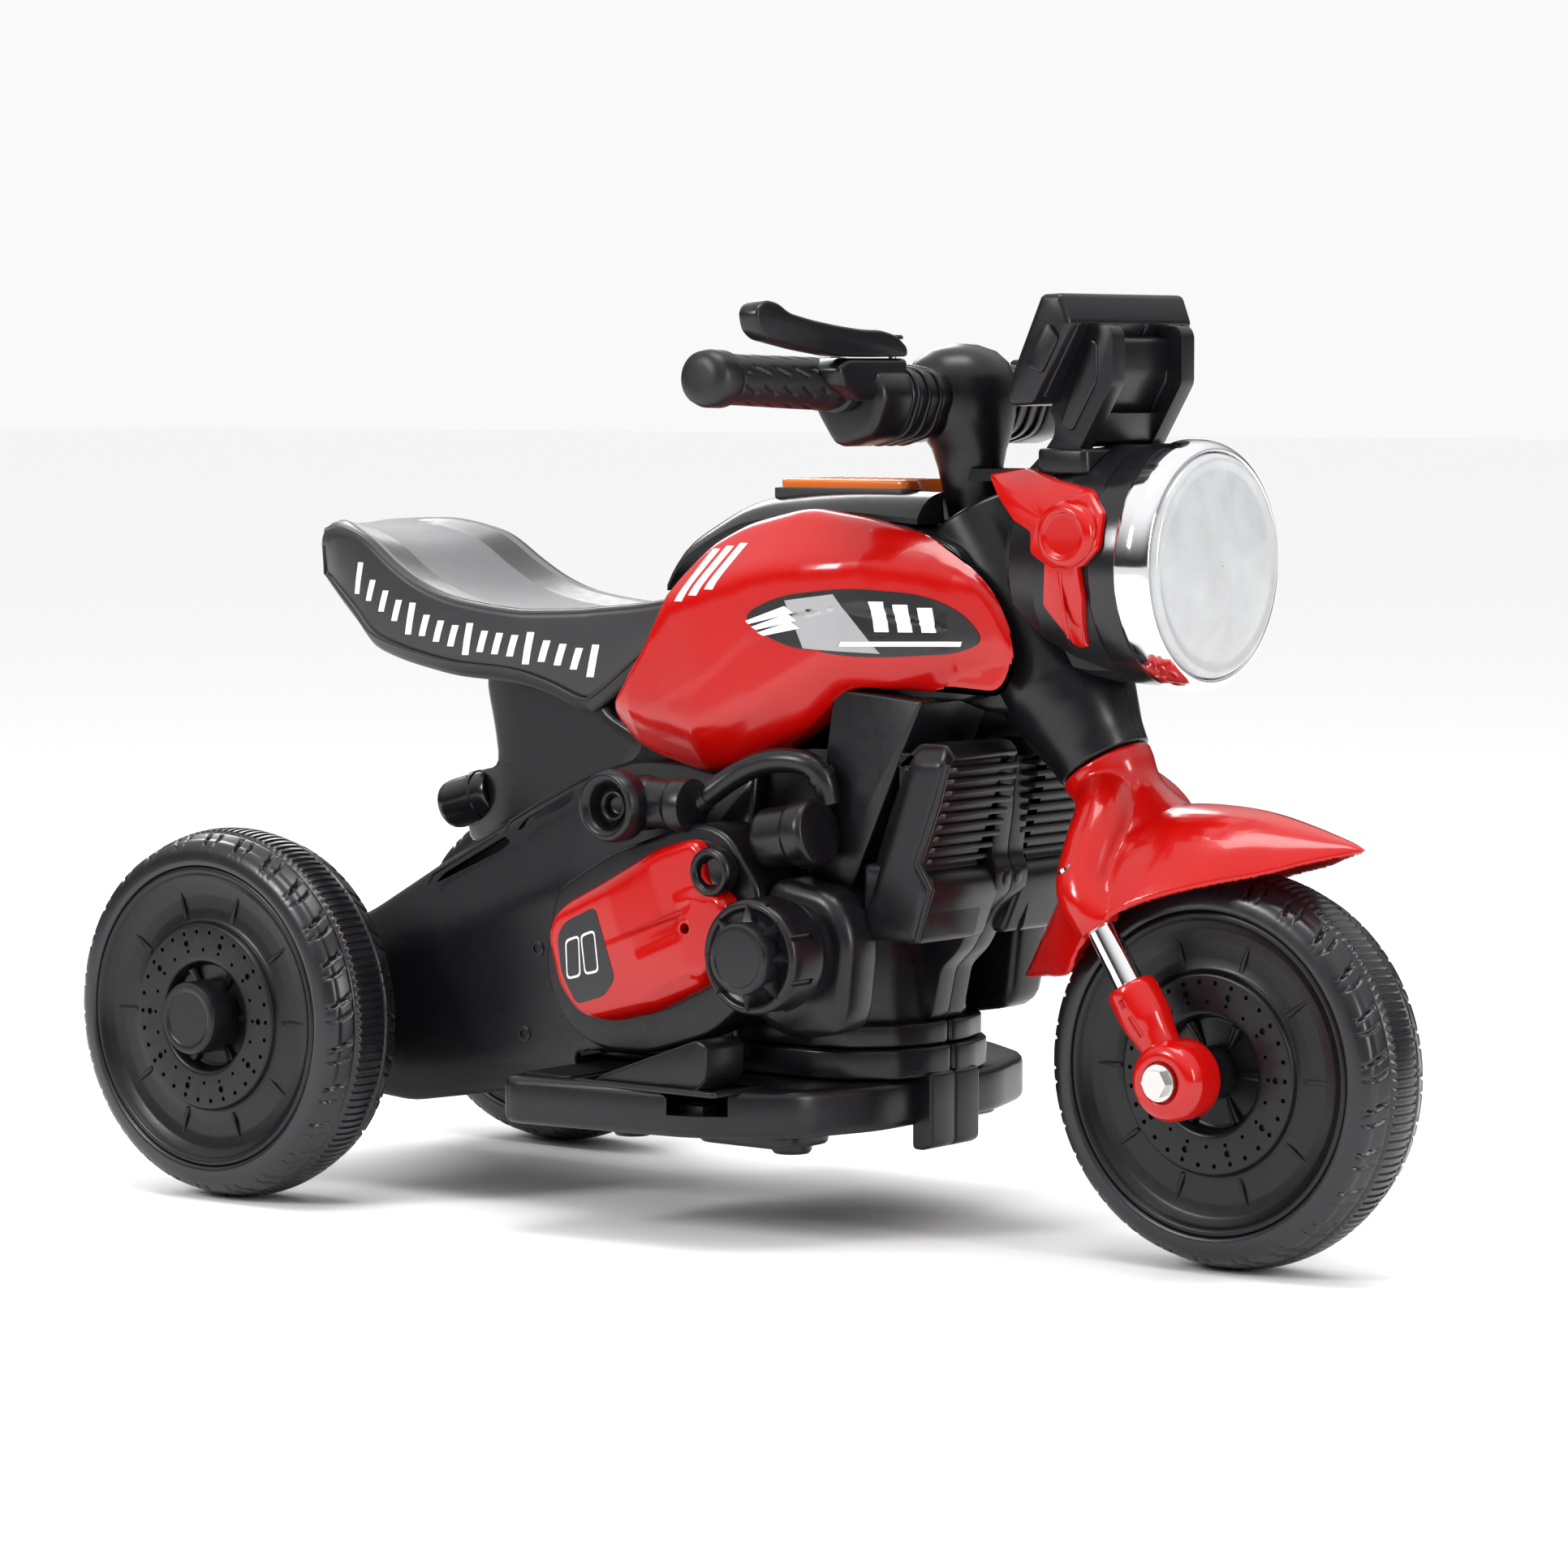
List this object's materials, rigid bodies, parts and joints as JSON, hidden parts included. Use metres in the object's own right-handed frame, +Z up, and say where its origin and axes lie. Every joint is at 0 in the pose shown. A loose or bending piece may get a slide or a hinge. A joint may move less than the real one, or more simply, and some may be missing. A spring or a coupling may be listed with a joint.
{
  "type": "ride-on toy motorcycle",
  "caption": "Child's battery ride-on motorcycle on three wheels, with steering fork and handlebar, headlight, phone holder, saddle, footboards, foot pedal and geared rear-wheel drive.",
  "frame": {"origin": "middle of the bounding box's underside, on the floor between the wheels", "axes": "+X forward, the direction of travel; +Y to the rider's left; +Z up"},
  "size_m": [0.785, 0.3802, 0.5036],
  "materials": {
    "black_plastic": "satin, slightly grained",
    "red_plastic": "glossy",
    "wheel_plastic": "satin, moulded tread",
    "hub_plastic": "matte",
    "zinc_steel": "zinc plated",
    "nylon": "semi-matte",
    "seat_plastic": "fine grain, matte",
    "chrome": "mirror",
    "clear_lens": "clear, lightly ribbed",
    "white_plastic": "frosted white",
    "orange_plastic": "translucent",
    "battery_case": "satin",
    "circuit_board": "lacquered"
  },
  "bodies": {
    "frame": {"body_shell_right": "black_plastic", "body_shell_left": "black_plastic", "base_platform": "black_plastic", "battery_tray": "black_plastic", "battery": "battery_case", "control_board": "circuit_board", "charging_socket": "black_plastic", "tank_cover_right": "red_plastic", "tank_cover_left": "red_plastic", "tank_top_panel": "black_plastic", "seat": "seat_plastic", "engine_cases": "black_plastic", "engine_cover_right": "red_plastic", "engine_cover_left": "red_plastic", "side_knob_right": "black_plastic", "side_knob_left": "black_plastic", "cylinder_shrouds": "black_plastic", "reservoirs": "black_plastic", "intakes": "black_plastic", "side_pipes": "black_plastic", "tail_pipes": "black_plastic", "rear_axle": "zinc_steel", "axle_hardware": "zinc_steel", "gearbox_housing": "black_plastic", "motor": "zinc_steel", "pedal_pin": "zinc_steel", "pedal_switch": "black_plastic", "steering_bushes": "nylon"},
    "steering": {"steering_shaft": "zinc_steel", "fork_crown": "red_plastic", "fork_rods": "chrome", "fork_ends": "red_plastic", "front_axle": "zinc_steel", "front_axle_nut": "zinc_steel", "handlebar_cover": "black_plastic", "handlebar_tube": "zinc_steel", "grip_right": "black_plastic", "grip_left": "black_plastic", "lever_pins": "zinc_steel", "headlight_bucket": "black_plastic", "headlight_ring": "chrome", "headlight_lens": "clear_lens", "headlight_reflector": "white_plastic", "headlight_ears": "red_plastic", "dash_bracket": "black_plastic", "dash_holder": "black_plastic"},
    "front_wheel": {"front_tyre": "wheel_plastic", "front_hub": "hub_plastic"},
    "rear_wheel_right": {"rear_tyre_right": "wheel_plastic", "rear_hub_right": "hub_plastic", "hub_cap_right": "hub_plastic", "output_gear": "nylon"},
    "rear_wheel_left": {"rear_tyre_left": "wheel_plastic", "rear_hub_left": "hub_plastic", "hub_cap_left": "hub_plastic"},
    "motor_pinion": {"motor_pinion": "nylon"},
    "foot_pedal": {"foot_pedal": "black_plastic"},
    "horn_button": {"horn_button": "orange_plastic"},
    "brake_lever_right": {"brake_lever_right": "black_plastic"},
    "brake_lever_left": {"brake_lever_left": "black_plastic"}
  },
  "joints": [
    {"name": "steer", "type": "hinge", "parent": "frame", "child": "steering", "pos_m": [0.2064, 0, 0.2578], "axis": [-0.5373, 0, 0.8434], "range_deg": [-30, 30]},
    {"name": "front_wheel_spin", "type": "hinge", "parent": "steering", "child": "front_wheel", "pos_m": [0.2885, 0, 0.104], "axis": [0, 1, 0], "continuous": true},
    {"name": "rear_wheel_right_spin", "type": "hinge", "parent": "frame", "child": "rear_wheel_right", "pos_m": [-0.2885, -0.1407, 0.104], "axis": [0, 1, 0], "continuous": true},
    {"name": "rear_wheel_left_spin", "type": "hinge", "parent": "frame", "child": "rear_wheel_left", "pos_m": [-0.2885, 0.1407, 0.104], "axis": [0, 1, 0], "continuous": true},
    {"name": "motor_spin", "type": "hinge", "parent": "frame", "child": "motor_pinion", "pos_m": [-0.26067, -0.068, 0.11553], "axis": [0, 1, 0], "continuous": true},
    {"name": "pedal_press", "type": "hinge", "parent": "frame", "child": "foot_pedal", "pos_m": [-0.026, -0.12, 0.082], "axis": [0, 1, 0], "range_deg": [0, 7], "stiffness_Nm_per_rad": 0.6, "springref_deg": -6.88},
    {"name": "horn_press", "type": "slide", "parent": "frame", "child": "horn_button", "axis": [0, 0, -1], "range_m": [0, 0.002], "stiffness_N_per_m": 500, "springref_m": -0.005},
    {"name": "brake_lever_right_pull", "type": "hinge", "parent": "steering", "child": "brake_lever_right", "pos_m": [0.117, -0.068, 0.474], "axis": [0, 0, -1], "range_deg": [0, 10], "stiffness_Nm_per_rad": 0.3, "springref_deg": -5.73},
    {"name": "brake_lever_left_pull", "type": "hinge", "parent": "steering", "child": "brake_lever_left", "pos_m": [0.117, 0.068, 0.474], "axis": [0, 0, 1], "range_deg": [0, 10], "stiffness_Nm_per_rad": 0.3, "springref_deg": -5.73}
  ],
  "couplings": [
    {"joint": "motor_spin", "follows": "rear_wheel_right_spin", "ratio": -4}
  ]
}
